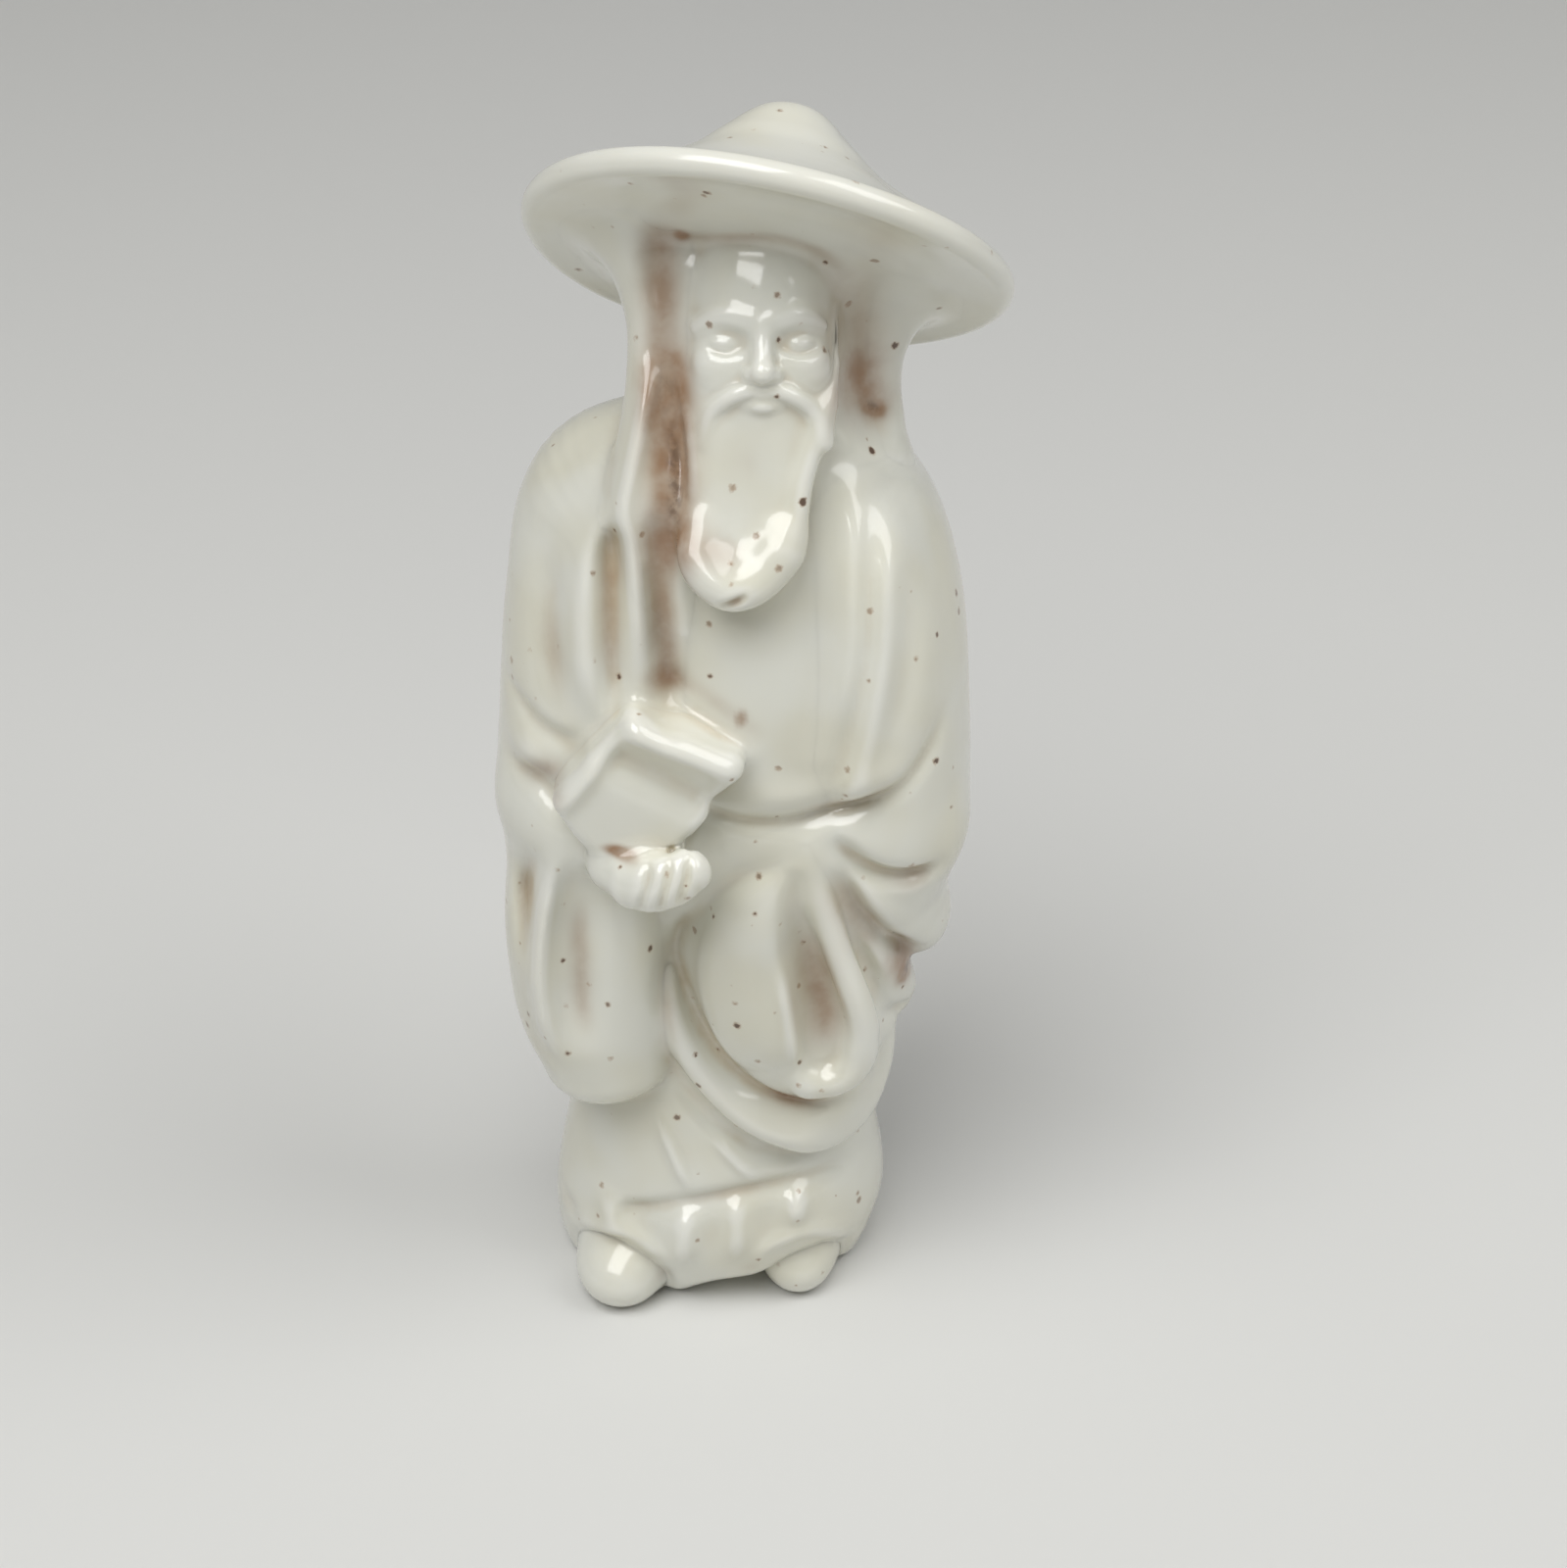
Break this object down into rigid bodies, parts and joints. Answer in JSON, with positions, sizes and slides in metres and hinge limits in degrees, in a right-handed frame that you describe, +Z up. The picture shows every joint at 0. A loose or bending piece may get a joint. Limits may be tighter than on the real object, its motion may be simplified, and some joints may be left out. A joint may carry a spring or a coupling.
{
  "type": "ceramic figurine",
  "caption": "Glazed porcelain figurine of a bearded old man in a wide hat and long robe, standing with a book held at his waist.",
  "frame": {"origin": "on the ground under the middle of the robe's foot", "axes": "+Z up, -Y towards the figure's front, +X towards the figure's left hand"},
  "size_m": [0.0269, 0.0224, 0.0705],
  "materials": {
    "ivory_glaze": "glossy"
  },
  "bodies": {
    "root": {"robe": "ivory_glaze", "hat": "ivory_glaze", "head": "ivory_glaze", "beard": "ivory_glaze", "hair_fall": "ivory_glaze", "right_lock": "ivory_glaze", "left_lock": "ivory_glaze", "right_sleeve": "ivory_glaze", "left_sleeve": "ivory_glaze", "book": "ivory_glaze", "right_hand": "ivory_glaze", "right_cuff": "ivory_glaze", "left_cuff": "ivory_glaze", "left_cuff_lining": "ivory_glaze", "right_shoe": "ivory_glaze", "left_shoe": "ivory_glaze"}
  },
  "joints": []
}
